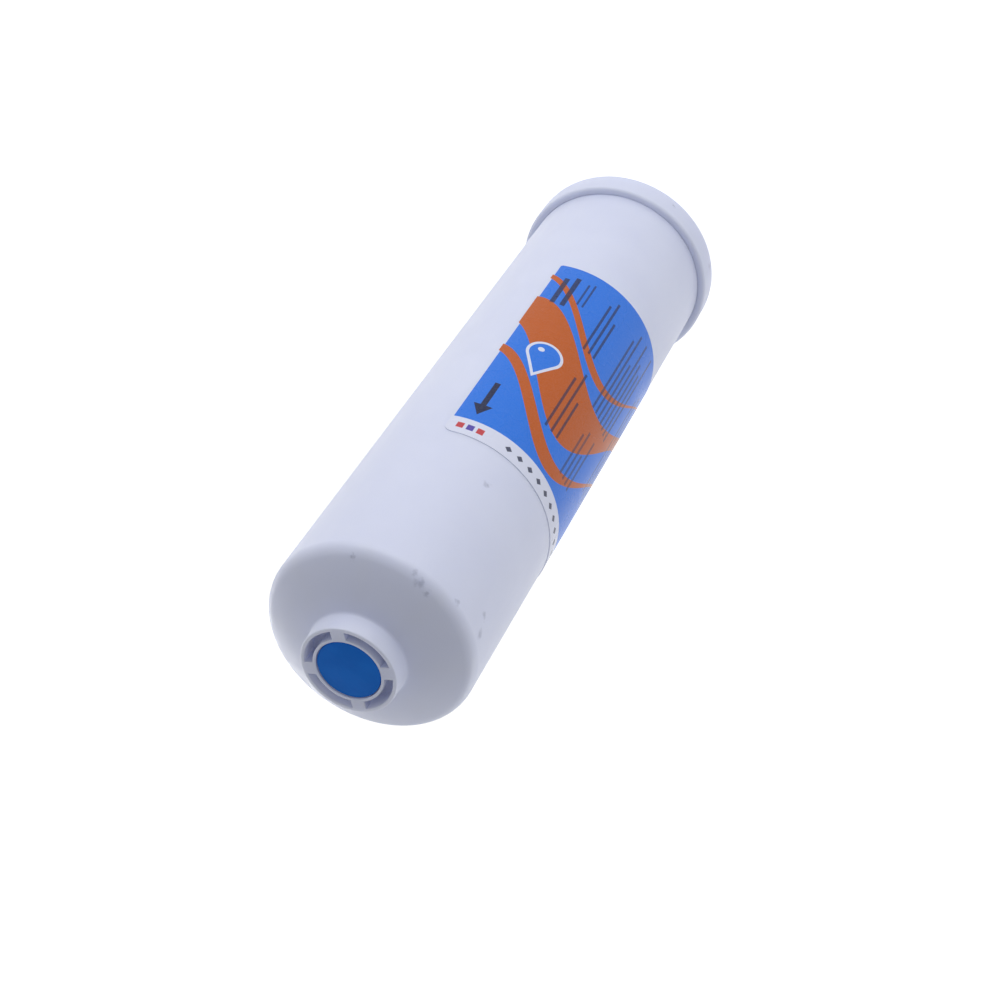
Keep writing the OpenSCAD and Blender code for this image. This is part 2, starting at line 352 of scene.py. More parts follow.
# %% Helpers for spinning
spin_steps = 180
seam_gap = 0.002 * mm
smooth_angle = math.radians(28)


def spin_outline():
    """Spins the outline in edit mode once round the Z axis and closes its seam and poles."""
    bpy.ops.mesh.select_all(action="SELECT")
    bpy.ops.mesh.spin(steps=spin_steps, angle=math.tau, center=(0, 0, 0), axis=(0, 0, 1))
    bpy.ops.mesh.select_all(action="SELECT")
    bpy.ops.mesh.remove_doubles(threshold=seam_gap)
    bpy.ops.mesh.normals_make_consistent(inside=False)


def leave_edit_mode(piece):
    """Ends the modelling of a piece with smooth shading, and prints its size."""
    bpy.ops.object.mode_set(mode="OBJECT")
    bpy.ops.object.shade_smooth_by_angle(angle=smooth_angle)
    size = [round(x / mm, 2) for x in piece.dimensions]
    print(piece.name, size, "mm,", len(piece.data.polygons), "faces")


def from_axis(place):
    """Distance of a place from the Z axis."""
    return math.hypot(place.x, place.y)


# %% [markdown]
# Both ends have the same port: a short round boss on the dome, with a threaded socket in its middle.
# Between the two the moulding is cored out into four pockets, so that the thick plastic doesn't sink
# as it cools. The section of a port is worked out once, with heights measured from the rim of its boss,
# and the two ends use it on domes of different roundness. The fillet touches the boss and the dome, so
# its centre follows from them.

# %% Sizes of a port
boss_r = 14.5
boss_h = 6.9
boss_draft = 0.2
boss_fillet_r = 1.0
boss_edge_r = 0.4
boss_wall = 1.2
socket_r = 10.7
socket_l = 15.5
socket_floor = 2.0
thread_r = 6.8
waterway_r = 4.0
seat_r = 9.8
seat_depth = 1.55
seat_edge = 0.2
pocket_depth = 6.2
rib_w = 4.2
rib_turn = 58
wall = 2.6
fillet_steps = 6
edge_steps = 4


def cap_height(crown_r, r):
    """Height of a sphere's top above its circle of radius r."""
    return crown_r - math.sqrt(crown_r**2 - r**2)


def port_section(crown_r):
    """Points from the dome over the boss and down its bore to the dome's inner face, rim at height 0."""
    crown_z = cap_height(crown_r, boss_r + boss_draft) - boss_h - crown_r
    fillet_x = boss_r + boss_draft + boss_fillet_r
    fillet_z = crown_z + math.sqrt((crown_r + boss_fillet_r) ** 2 - fillet_x**2)
    touch = math.degrees(math.atan2(fillet_z - crown_z, fillet_x))
    inner_z = crown_z + math.sqrt((crown_r - wall) ** 2 - socket_r**2)
    points = arc((fillet_x, fillet_z), boss_fillet_r, 180 + touch, 180, fillet_steps)
    points += arc((boss_r - boss_edge_r, -boss_edge_r), boss_edge_r, 0, 90, edge_steps)
    points += [(boss_r - boss_wall, 0), (socket_r, 0), (seat_r + seat_edge, 0), (seat_r, -seat_edge)]
    points += [(seat_r, -seat_depth), (thread_r + seat_edge, -seat_depth)]
    points += [(thread_r, -seat_depth - seat_edge)]
    points += [(thread_r, socket_floor - socket_l), (waterway_r, socket_floor - socket_l)]
    points += [(waterway_r, -socket_l), (socket_r, -socket_l), (socket_r, inner_z)]
    return points, crown_z, touch


# %% Section of a dome with a port
shoulder_steps = 10
dome_steps = 14
inside_steps = 10


def end_section(side_r, crown_r, shoulder_r, inner_r):
    """Points from a dome's straight side over its port and back along the inside, and the side's height."""
    port, crown_z, touch = port_section(crown_r)
    side_z = crown_z + math.sqrt((crown_r - shoulder_r) ** 2 - (side_r - shoulder_r) ** 2)
    shoulder = math.degrees(math.acos((side_r - shoulder_r) / (crown_r - shoulder_r)))
    points = arc((side_r - shoulder_r, side_z), shoulder_r, 0, shoulder, shoulder_steps)
    points += arc((0, crown_z), crown_r, shoulder, touch, dome_steps)[1:-1]
    points += port
    reach = math.degrees(math.acos(inner_r / (crown_r - wall)))
    start = math.degrees(math.acos(socket_r / (crown_r - wall)))
    points += arc((0, crown_z), crown_r - wall, start, reach, inside_steps)[1:]
    return points, side_z


# %% [markdown]
# The pockets are modelled as in the viewport: the faces of the rim between boss and socket are
# selected, apart from the four ribs, and extruded down. A rib has parallel sides, but the spun edges
# run to the axis, so the corners of each pocket are first turned a little: the inner ones away from the
# rib's middle, and the outer ones towards it. The rims of the pockets then get a small bevel, because a
# moulded edge always catches a line of light.

# %% Pockets of a port
rib_half_angle = 10
rib_spacing = 90
near_angle = 0.1
pocket_edge = 0.18
pocket_edge_steps = 2
# How far a pocket's faces and edges may lie from its middle, as shares of its half width
face_share = 0.5
edge_share = 1.1
# A face is upright when its normal climbs less than this
upright = 0.1


def from_rib(place):
    """Angle from the middle of the nearest rib, in degrees."""
    turn = math.degrees(math.atan2(place.y, place.x)) - rib_turn
    return (turn + rib_spacing / 2) % rib_spacing - rib_spacing / 2


def straighten_ribs(rim_z):
    """Turns the pockets' corners about the axis, so that the ribs' sides run parallel."""
    for radius in (socket_r, boss_r - boss_wall):
        wanted = math.degrees(math.asin(rib_w / 2 / radius))
        for side in (-1, 1):
            count = choose("VERT", lambda v: (
                abs(v.co.z - rim_z) < touching
                and abs(from_axis(v.co) - radius * mm) < touching
                and abs(from_rib(v.co) - side * rib_half_angle) < near_angle
            ))
            turn = math.radians(side * (wanted - rib_half_angle))
            bpy.ops.transform.rotate(value=-turn, orient_axis="Z", center_override=(0, 0, 0))
            print("corners turned:", count, "by", round(math.degrees(turn), 2), "degrees")


def sink_pockets(rim_z, downwards):
    """Extrudes the pockets into the rim at a height and bevels their edges."""
    straighten_ribs(rim_z)
    middle_r = (socket_r + boss_r - boss_wall) / 2 * mm
    half_w = (boss_r - boss_wall - socket_r) / 2 * mm
    faces = choose("FACE", lambda f: (
        abs(f.calc_center_median().z - rim_z) < touching
        and abs(from_axis(f.calc_center_median()) - middle_r) < half_w * face_share
        and abs(from_rib(f.calc_center_median())) > rib_half_angle
    ))
    step = (0, 0, downwards * pocket_depth * mm)
    bpy.ops.mesh.extrude_region_move(TRANSFORM_OT_translate={"value": step})
    edges = choose("EDGE", lambda e: (
        len(e.link_faces) == 2
        and all(abs(v.co.z - rim_z) < touching for v in e.verts)
        and abs(from_axis((e.verts[0].co + e.verts[1].co) / 2) - middle_r) < half_w * edge_share
        and min(abs(f.normal.z) for f in e.link_faces) < upright
    ))
    bpy.ops.mesh.bevel(offset=pocket_edge * mm, segments=pocket_edge_steps, affect="EDGES")
    print("pockets:", faces, "faces sunk,", edges, "edges bevelled")


# %% [markdown]
# The canister is the tube, its shallow dome and the outlet port in one moulding. Its wall is a closed
# loop: up the outside, over the dome and the port, down the bore, and back along the inside.

# %% Canister
tube_r = 31.75
bore_r = tube_r - wall
dome_crown_r = 60
shoulder_r = 5
canister_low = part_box("canister")[0].z / mm
overall_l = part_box("canister")[1].z / mm

section, dome_side = end_section(tube_r, dome_crown_r, shoulder_r, bore_r)
points = [(tube_r, canister_low)]
points += [(x, z + overall_l) for x, z in section]
points += [(bore_r, canister_low)]
canister = draw_outline("canister_moulding", points)
close_outline(points)
spin_outline()
sink_pockets(overall_l * mm, downwards=-1)
leave_edit_mode(canister)
print("the dome starts at", round(overall_l + dome_side, 2), "mm")

# %% [markdown]
# The end cap is welded over the canister's open end by spinning. Its collar and its spigot hold the
# tube's wall between them, in the groove where the weld is. In the photograph the collar's rim shows as
# a dark line round the far end. The weld has filled the mouth of the groove, so a thin lip meets the
# tube there. The cap is drawn as the canister was, upside down.

# %% End cap
collar_step = 2.65
collar_r = tube_r + collar_step
cap_crown_r = 75
collar_edge_r = 2.5
collar_rim_r = 1.0
collar_rim_steps = 6
weld_play = 0.15
spigot_wall = 2.0
chamfer = 0.5
lip_gap = 0.02
lip_h = 3.0
lip_edge_r = 0.2
collar_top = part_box("end_cap")[1].z / mm
groove_z = canister_low
spigot_r = bore_r - weld_play
spigot_bore_r = spigot_r - spigot_wall
spigot_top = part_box("foam_pad")[0].z / mm

section, cap_side = end_section(collar_r, cap_crown_r, collar_edge_r, spigot_bore_r)
lip_r = tube_r + lip_gap
points = [(tube_r + weld_play, groove_z + lip_h), (lip_r, groove_z + lip_h)]
points += arc((lip_r + lip_edge_r, collar_top - lip_edge_r), lip_edge_r, 180, 90, edge_steps)
rim_centre = (collar_r - collar_rim_r, collar_top - collar_rim_r)
points += arc(rim_centre, collar_rim_r, 90, 0, collar_rim_steps)
points += [(x, -z) for x, z in section]
points += [(spigot_bore_r, spigot_top), (spigot_r - chamfer, spigot_top)]
points += [(spigot_r, spigot_top - chamfer), (spigot_r, groove_z), (tube_r + weld_play, groove_z)]
end_cap = draw_outline("end_cap_moulding", points)
close_outline(points)
spin_outline()
sink_pockets(0, downwards=1)
leave_edit_mode(end_cap)
print("the collar runs from", round(-cap_side, 2), "to", round(collar_top, 2), "mm")

# %% [markdown]
# Each socket has a pipe thread. A thread is a ridge that climbs as it turns, so one small section is
# drawn and the Screw modifier sweeps it. Its root lies a little inside the bore's wall, and it is then
# joined to the moulding that it is part of. Turned over, a right-handed thread stays right-handed, so
# the inlet's thread is a turned copy of the outlet's.

# %% Thread
thread_pitch = 1.411
thread_turns = 7.25
crest_r = 5.8
root_sunk = 0.1
root_half = 0.6
crest_half = 0.09
thread_clearance = 0.5
steps_per_turn = 72
thread_low = overall_l - socket_l + socket_floor + root_half + thread_clearance

section = [
    (thread_r + root_sunk, thread_low - root_half),
    (crest_r, thread_low - crest_half),
    (crest_r, thread_low + crest_half),
    (thread_r + root_sunk, thread_low + root_half),
]
outlet_thread = draw_outline("outlet_thread", section)
close_outline(section)
bpy.ops.object.mode_set(mode="OBJECT")
sweep = outlet_thread.modifiers.new("sweep", "SCREW")
sweep.angle = math.tau * thread_turns
sweep.screw_offset = thread_pitch * thread_turns * mm
sweep.steps = int(steps_per_turn * thread_turns)
sweep.render_steps = sweep.steps
bpy.ops.object.modifier_apply(modifier=sweep.name)
bpy.ops.object.mode_set(mode="EDIT")
bpy.ops.mesh.select_all(action="SELECT")
bpy.ops.mesh.fill_holes(sides=len(section))
bpy.ops.mesh.select_all(action="SELECT")
bpy.ops.mesh.normals_make_consistent(inside=False)
leave_edit_mode(outlet_thread)

# %% Thread of the inlet
def copy_of(piece):
    """Copies a piece and leaves only the copy selected."""
    bpy.ops.object.select_all(action="DESELECT")
    piece.select_set(True)
    bpy.context.view_layer.objects.active = piece
    bpy.ops.object.duplicate(linked=False)
    return bpy.context.object


def turned_copy(piece, name):
    """Copies a piece and turns the copy over, for the other end of the filter."""
    copy = copy_of(piece)
    copy.name = name
    copy.rotation_euler = (math.pi, 0, 0)
    copy.location = (0, 0, overall_l * mm)
    bpy.ops.object.transform_apply(location=True, rotation=True, scale=False)
    return copy


def join_to(piece, part):
    """Makes a part one mesh with the piece that it belongs to."""
    bpy.ops.object.select_all(action="DESELECT")
    part.select_set(True)
    piece.select_set(True)
    bpy.context.view_layer.objects.active = piece
    bpy.ops.object.join()


inlet_thread = turned_copy(outlet_thread, "inlet_thread")
join_to(canister, outlet_thread)
join_to(end_cap, inlet_thread)
print("thread:", thread_turns, "turns of", thread_pitch, "mm in each socket")

# %% [markdown]
# Inside each dome, eight upright ribs hold a perforated screen off the wall, so that water can spread
# behind it. A rib is a flat plate with one curved edge. It is drawn once, extruded to its thickness,
# and copied round the axis. Its curved edge lies within the dome's wall, as on the real moulding.

# %% Seat ribs
seat_rib_t = 1.6
seat_rib_count = 8
seat_rib_steps = 8
rib_sunk = 1.0
outlet_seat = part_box("outlet_screen")[1].z / mm
inlet_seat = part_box("inlet_screen")[0].z / mm


def seat_rib_outline(crown_r, crown_z, seat_z, outer_r):
    """Outline of a rib from the socket to the dome, with heights measured from the boss's rim."""
    low, high = socket_r - rib_sunk, outer_r + rib_sunk
    reach = crown_r - wall + rib_sunk
    angles = [math.degrees(math.acos(r / reach)) for r in (high, low)]
    return [(low, seat_z), (high, seat_z)] + arc((0, crown_z), reach, *angles, seat_rib_steps)


def add_seat_ribs(piece, points):
    """Models one rib, copies it round the axis and makes the ribs part of a moulding."""
    rib = draw_outline("seat_rib", points)
    close_outline(points)
    bpy.ops.mesh.select_all(action="SELECT")
    bpy.ops.mesh.edge_face_add()
    bpy.ops.mesh.extrude_region_move(TRANSFORM_OT_translate={"value": (0, seat_rib_t * mm, 0)})
    bpy.ops.mesh.select_all(action="SELECT")
    bpy.ops.transform.translate(value=(0, -seat_rib_t / 2 * mm, 0))
    bpy.ops.mesh.normals_make_consistent(inside=False)
    leave_edit_mode(rib)
    for i in range(seat_rib_count):
        copy = copy_of(rib)
        copy.rotation_euler = (0, 0, i * math.tau / seat_rib_count)
        bpy.ops.object.transform_apply(location=False, rotation=True, scale=False)
        join_to(piece, copy)
    bpy.data.objects.remove(rib)


outlet_crown_z = port_section(dome_crown_r)[1]
inlet_crown_z = port_section(cap_crown_r)[1]
points = seat_rib_outline(dome_crown_r, outlet_crown_z, outlet_seat - overall_l, bore_r)
add_seat_ribs(canister, [(x, z + overall_l) for x, z in points])
points = seat_rib_outline(cap_crown_r, inlet_crown_z, -inlet_seat, spigot_bore_r)
add_seat_ribs(end_cap, [(x, -z) for x, z in points])
print("seats for the screens at", round(outlet_seat, 2), "and", round(inlet_seat, 2), "mm")

# %% [markdown]
# A blue plug closes each port until the filter is fitted. It is a soft moulding with a flat head and a
# hollow stem, whose rings bite on the thread. Half its section is drawn from the axis outwards and back
# to the axis, and the spin closes it at both poles.

# %% Plugs
head_r = 9.55
head_t = 1.2
head_edge = 0.3
plug_drop = 0.35
stem_l = 10.5
stem_r = 5.0
grip_r = 5.5
grip_h = 0.5
grip_count = 3
stem_wall = 1.1
face_z = overall_l - plug_drop
grip_pitch = stem_l / (grip_count + 1)

points = [(0, 0)]
points += arc((head_r - head_edge, -head_edge), head_edge, 90, 0, edge_steps)
points += [(head_r, -head_t), (stem_r, -head_t)]
for i in range(grip_count):
    grip_z = -head_t - (i + 1) * grip_pitch
    points += [(stem_r, grip_z + grip_h), (grip_r, grip_z + grip_h)]
    points += [(grip_r, grip_z), (stem_r, grip_z - grip_h)]
points += [(stem_r, -head_t - stem_l), (stem_r - stem_wall, -head_t - stem_l)]
points += [(stem_r - stem_wall, -head_t), (0, -head_t)]
outlet_plug = draw_outline("outlet_plug_moulding", [(x, z + face_z) for x, z in points])
spin_outline()
leave_edit_mode(outlet_plug)
inlet_plug = turned_copy(outlet_plug, "inlet_plug_moulding")

# %% [markdown]
# The label is a printed film, wrapped round three quarters of the tube. It is cut as the real one is,
# flat and with rounded corners, and gets its map of the print while it is still flat. Then it is given
# its thickness and wrapped by the Simple Deform modifier, whose bend keeps every length true. A bend
# needs many rows of vertices, so the flat sheet is first sliced across every two millimetres.

# %% Flat label
label_w = 152
label_h = 104
label_t = 0.18
label_corner_r = 3
label_corner_steps = 8
label_gap = 0.02
label_turn = 319.6
label_from_top = 74.8
label_top = overall_l - label_from_top
slice_w = 2

bpy.ops.object.select_all(action="DESELECT")
bpy.ops.mesh.primitive_plane_add(size=1, rotation=(math.pi / 2, 0, 0))
label = bpy.context.object
label.name = "label_film"
label.scale = (label_w * mm, label_h * mm, 1)
bpy.ops.object.transform_apply(location=True, rotation=True, scale=True)
bpy.ops.object.mode_set(mode="EDIT")
bpy.ops.mesh.select_all(action="SELECT")
bpy.ops.mesh.bevel(offset=label_corner_r * mm, segments=label_corner_steps, affect="VERTICES")
for x in range(slice_w - label_w // 2, label_w // 2, slice_w):
    bpy.ops.mesh.select_all(action="SELECT")
    bpy.ops.mesh.bisect(plane_co=(x * mm, 0, 0), plane_no=(1, 0, 0))
bpy.ops.object.mode_set(mode="OBJECT")
print("label:", len(label.data.polygons), "faces, flat")

# %% Map of the print
print_map = label.data.uv_layers.new(name="print")
for corner in label.data.loops:
    place = label.data.vertices[corner.vertex_index].co
    along = 0.5 - place.x / (label_w * mm)
    down = 0.5 - place.z / (label_h * mm)
    print_map.data[corner.index].uv = (along, down)
for other in [layer.name for layer in label.data.uv_layers if layer.name != "print"]:
    label.data.uv_layers.remove(label.data.uv_layers[other])
print("map of the print:", [layer.name for layer in label.data.uv_layers])

# %% Wrapped label
# The bend leaves the label's middle at this turn round the axis
bent_turn = 270
wrap_r = tube_r + label_gap
film = label.modifiers.new("film", "SOLIDIFY")
film.thickness = label_t * mm
film.offset = 1
wrap = label.modifiers.new("wrap", "SIMPLE_DEFORM")
wrap.deform_method = "BEND"
wrap.deform_axis = "Z"
wrap.angle = label_w / wrap_r
bpy.ops.object.modifier_apply(modifier=film.name)
bpy.ops.object.modifier_apply(modifier=wrap.name)
label_middle = label_turn - math.degrees(label_w / wrap_r) / 2
label.location = (0, -wrap_r * mm, 0)
bpy.ops.object.transform_apply(location=True, rotation=False, scale=False)
label.rotation_euler = (0, 0, math.radians(label_middle - bent_turn))
label.location = (0, 0, (label_top - label_h / 2) * mm)
bpy.ops.object.transform_apply(location=True, rotation=True, scale=False)
bpy.ops.object.mode_set(mode="EDIT")
leave_edit_mode(label)
radii = [from_axis(v.co) / mm for v in label.data.vertices]
print("label wraps at", round(min(radii), 3), "to", round(max(radii), 3), "mm from the axis")

# %% [markdown]
# The tube holds what does the work: a bed of resin beads between two discs of felt, kept packed by a
# disc of soft foam. All four are round, but none is a hard cylinder. The foam bulges a little where it
# is squeezed, the felts have soft edges, and the beads make the bed's surface uneven. Each is spun from
# its outline, with rings close enough together for a Displace modifier to roughen the surface.

# %% Soft discs
soft_edge_steps = 3


def soft_disc_outline(node, edge_r, bulge, rows):
    """Half a section of the disc that fills a node's box, with round edges and a side that bulges."""
    low, high = (corner.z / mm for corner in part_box(node))
    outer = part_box(node)[1].x / mm
    side = outer - bulge
    across = [(side - edge_r) * i / rows for i in range(rows)]
    points = [(r, low) for r in across]
    points += arc((side - edge_r, low + edge_r), edge_r, -90, 0, soft_edge_steps)
    for i in range(1, rows):
        height = low + edge_r + (high - low - 2 * edge_r) * i / rows
        points.append((side + bulge * math.sin(math.pi * i / rows), height))
    points += arc((side - edge_r, high - edge_r), edge_r, 0, 90, soft_edge_steps)
    points += [(r, high) for r in reversed(across)]
    return points


def roughen(piece, size, depth):
    """Moves the surface in and out by a random pattern with features of a size in millimetres."""
    pattern = bpy.data.textures.new(piece.name, "CLOUDS")
    pattern.noise_scale = size * mm
    displace = piece.modifiers.new("rough", "DISPLACE")
    displace.texture = pattern
    displace.texture_coords = "LOCAL"
    displace.strength = depth * mm
    displace.mid_level = 1
    bpy.ops.object.modifier_apply(modifier=displace.name)


def add_soft_disc(name, node, edge_r, bulge, rows, size, depth):
    """Spins a soft disc that fills a node's box and roughens its surface."""
    disc = draw_outline(name, soft_disc_outline(node, edge_r, bulge, rows))
    spin_outline()
    leave_edit_mode(disc)
    roughen(disc, size, depth)
    return disc


resin = add_soft_disc("resin_beads", "resin_bed", edge_r=1.2, bulge=0, rows=60, size=2.5, depth=0.3)
felt_sizes = {"edge_r": 0.7, "bulge": 0.1, "rows": 20, "size": 1.5, "depth": 0.2}
outlet_felt = add_soft_disc("outlet_felt", "outlet_pad", **felt_sizes)
inlet_felt = add_soft_disc("inlet_felt", "inlet_pad", **felt_sizes)
foam = add_soft_disc("foam_disc", "foam_pad", edge_r=1.4, bulge=0.5, rows=24, size=1.2, depth=0.35)

# %% [markdown]
# Every finish starts from the same two steps: a new material with its node tree, and one shader at the
# end of it. The patterns read Object coordinates, which are real places on the filter, so a size in
# millimetres means the same in every material.

# %% Helpers for materials
def start_material(name):
    """Makes an empty material, and returns it with its recipe and the place on the object."""
    material = bpy.data.materials.new(name)
    material.use_nodes = True
    material.node_tree.nodes.clear()
    recipe = Recipe(material.node_tree)
    return material, recipe, recipe.node("ShaderNodeTexCoord", output="Object")


def end_material(recipe, values):
    """Adds the shader with its values, and the output."""
    shader = recipe.node("ShaderNodeBsdfPrincipled", None, values)
    recipe.node("ShaderNodeOutputMaterial", None, {"Surface": shader})


# %% [markdown]
# The housing is moulded from white polypropylene. Up close it isn't one even colour: the resin of the
# moulding clouds a little, its skin is satin with a fine grain, and handling has left faint marks, which
# lie here where the photograph shows them. Thin walls let some light through, which softens the shadows
# in the pockets, so the shader gets a little subsurface light.

# %% Housing plastic
housing_dark = (0.68, 0.72, 0.91, 1)
housing_light = (0.705, 0.745, 0.935, 1)
dirt_grey = (0.22, 0.25, 0.36, 1)
dirt_strength = 0.45
marks = (
    # turn round the axis, height, distance from the axis, size
    (283, 242.6, 30.2, 2.4),
    (288, 241.2, 30.9, 1.8),
    (277, 243.2, 29.6, 1.6),
    (238, 236, tube_r, 2.8),
    (242, 231, tube_r, 2.4),
    (262, 239, tube_r, 1.7),
    (282, 195.8, tube_r, 2.1),
    (322, 243.1, 29.5, 1.6),
    (281, 17.9, collar_r, 1.4),
    (237, 17, collar_r, 2.0),
)
# Shares of a mark's size: its dark core, its full reach, and the grain and depth of its ragged edge
mark_core = 0.1
mark_reach = 1.1
ragged_grain = 0.8
ragged_depth = 0.7


def smudge(recipe, place, turn, height, radius, size):
    """1 in the middle of a ragged mark, 0 away from it."""
    angle = math.radians(turn)
    centre = (radius * math.cos(angle) * mm, radius * math.sin(angle) * mm, height * mm)
    reach = recipe.node("ShaderNodeVectorMath", {"operation": "DISTANCE"}, {0: place, 1: centre}, "Value")
    ragged = recipe.grain(place, size * ragged_grain) * (size * ragged_depth * mm)
    return 1 - (reach + ragged).between(size * mark_core * mm, size * mark_reach * mm)


def housing_plastic():
    material, recipe, place = start_material("housing_plastic")
    clouds = recipe.grain(place, size=26)
    scuffs = recipe.grain(recipe.stretch(place, 1, 1, 6), size=2.5, detail=4)
    skin = recipe.grain(place, size=0.35)
    dirt = smudge(recipe, place, *marks[0])
    for mark in marks[1:]:
        dirt = dirt.most(smudge(recipe, place, *mark))
    colour = recipe.blend(clouds, housing_dark, housing_light)
    colour = recipe.blend(dirt * dirt_strength, colour, dirt_grey)
    end_material(recipe, {
        "Base Color": colour,
        "Roughness": 0.36 + 0.1 * scuffs + 0.04 * clouds,
        "Normal": recipe.bump(skin * 0.8 + scuffs * 0.2, depth=0.006),
        "Subsurface Weight": 0.4,
        "Subsurface Radius": (1.1, 1.05, 1.0),
        "Subsurface Scale": 3 * mm,
    })
    return material


# %% [markdown]
# The plugs are soft blue polyethylene. Their skin is waxier than the housing's, with the swirl of the
# moulding and the small scratches of a part that is pushed in by hand.

# %% Plug plastic
plug_dark = (0.002, 0.142, 0.61, 1)
plug_light = (0.004, 0.160, 0.66, 1)


def plug_plastic():
    material, recipe, place = start_material("plug_plastic")
    swirl = recipe.grain(place, size=6)
    scratches = recipe.grain(recipe.stretch(place, 8, 1, 1), size=0.5, detail=4)
    skin = recipe.grain(place, size=0.25)
    end_material(recipe, {
        "Base Color": recipe.blend(swirl, plug_dark, plug_light),
        "Roughness": 0.5 + 0.1 * scratches,
        "Normal": recipe.bump(skin * 0.6 + scratches * 0.4, depth=0.008),
        "Specular IOR Level": 0.14,
    })
    return material


# %% [markdown]
# The label is printed on white film. A picture file would be one way to colour it. Here the print is
# drawn by the shader, from the label's own map, so that it stays sharp at any distance. The map is
# turned into millimetres: along from the label's leading edge, and down from its outlet edge. A white
# strip comes first, and the rest is a blue field with three orange waves, a droplet, an arrow for the
# flow and groups of dark rules. All of it is generic.

# %% Sizes of the print
strip_h = 7.7
print_margin = 0.6
field_w = label_w - 2 * print_margin
field_h = label_h - strip_h - print_margin
wave_turns = 2
wave_rise = 0.19
wave_turn = 290
wave_lead = 60
wave_narrowing = 0.24
waves = ((0.265, 0.05), (0.5, 0.34), (0.755, 0.08))
ink_edge = 0.08
ink_white = (0.72, 0.755, 0.91, 1)
ink_blue = (0.02, 0.185, 0.78, 1)
ink_orange = (0.52, 0.105, 0.006, 1)
ink_dark = (0.008, 0.014, 0.06, 1)
ink_red = (0.56, 0.06, 0.07, 1)
ink_violet = (0.10, 0.07, 0.42, 1)
# A droplet's tip and the foot of its point, in radii above its middle, and the slope of its sides
drop_tip = 2.1
drop_foot = 0.42
drop_slope = 0.545
rule_scatter = 2.4

# %% Shapes in the print
class Sheet:
    """The print, as masks that are 1 inside a shape. Sizes are in millimetres."""

    def __init__(self, recipe):
        spot = recipe.node("ShaderNodeUVMap", {"uv_map": "print"})
        self.along = recipe.node("ShaderNodeSeparateXYZ", None, {0: spot}, "X") * label_w
        self.down = recipe.node("ShaderNodeSeparateXYZ", None, {0: spot}, "Y") * label_h

    def bar(self, left, right, top, bottom):
        """A rectangle. Its sides may be numbers or wires."""
        across = (self.along - left).least(right - self.along)
        return across.least((self.down - top).least(bottom - self.down)).between(-ink_edge, ink_edge)

    def disc(self, x, y, radius):
        reach = ((self.along - x) ** 2 + (self.down - y) ** 2) ** 0.5
        return (radius - reach).between(-ink_edge, ink_edge)

    def point(self, x, tip, foot, slope):
        """A triangle with its tip towards the outlet edge."""
        flank = slope * (self.down - tip) - abs(self.along - x)
        return flank.least(foot - self.down).between(-ink_edge, ink_edge)

    def droplet(self, x, y, radius):
        """A disc with a point on it."""
        tip = y - drop_tip * radius
        return self.disc(x, y, radius).most(self.point(x, tip, y - drop_foot * radius, drop_slope))

    def wave(self, share, width):
        """One of the waves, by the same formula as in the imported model."""
        turn = self.along * (math.tau * wave_turns / field_w)
        turn = turn + (math.radians(wave_turn) - math.tau * wave_turns * print_margin / field_w)
        middle = strip_h + field_h * (1 - share) - field_h * wave_rise * turn.sine()
        lead = (turn + math.radians(wave_lead)).sine()
        swell = 0.5 * (1 + wave_narrowing) + 0.5 * (1 - wave_narrowing) * lead
        return (field_h * width / 2 * swell - abs(self.down - middle)).between(-ink_edge, ink_edge)

    def rules(self, left, pitch, width, count, top, bottom, ragged):
        """Dark rules side by side. Each ends a little before or after the one beside it."""
        row = (self.along - left) * (1 / pitch)
        uneven = (row.maths("FLOOR", row) * rule_scatter).sine() * ragged
        rule = (row % 1) * pitch
        inside = rule.least(width - rule).between(-ink_edge, ink_edge)
        return inside.least(self.bar(left, left + count * pitch, top, bottom + uneven))


# %% Layout of the print
arrow_shaft = (5.6, 7.4, 16, 29)
arrow_head = (6.5, 11, 16.5, 0.55)
droplet_outside = (13.5, 52, 6.2)
droplet_inside = (13.5, 52, 5.2)
droplet_shine = (11.6, 53.6, 1.1)
rule_groups = (
    # left side, pitch, width, count, top, bottom, how uneven the ends are, strength of the ink
    (4.6, 3.4, 1.7, 2, 80, 96, 3, 0.9),
    (12.5, 1.9, 0.7, 2, 84, 97, 2, 0.75),
    (22, 2.2, 0.9, 3, 66, 94, 6, 0.8),
    (25, 2.6, 0.9, 3, 24, 52, 8, 0.8),
    (35.5, 2.1, 0.9, 7, 50, 92, 9, 0.72),
    (38, 2.1, 0.9, 4, 16, 38, 6, 0.65),
    (54, 2.2, 0.9, 6, 30, 84, 8, 0.6),
    (76, 2.6, 1.0, 6, 20, 52, 8, 0.6),
    (104, 2.4, 0.9, 9, 30, 86, 7, 0.6),
)
square_left = 3
square_right = 5.2
square_top = 2.6
square_bottom = 5.2
square_pitch = 3.2
diamond_row = (18, 146, 2, 6)
diamond_middle = 3.8
diamond_pitch = 4.4
diamond_reach = 1.25
diamond_strength = 0.9
worn_ink = 0.03
print("print:", len(waves), "waves and", len(rule_groups), "groups of rules")


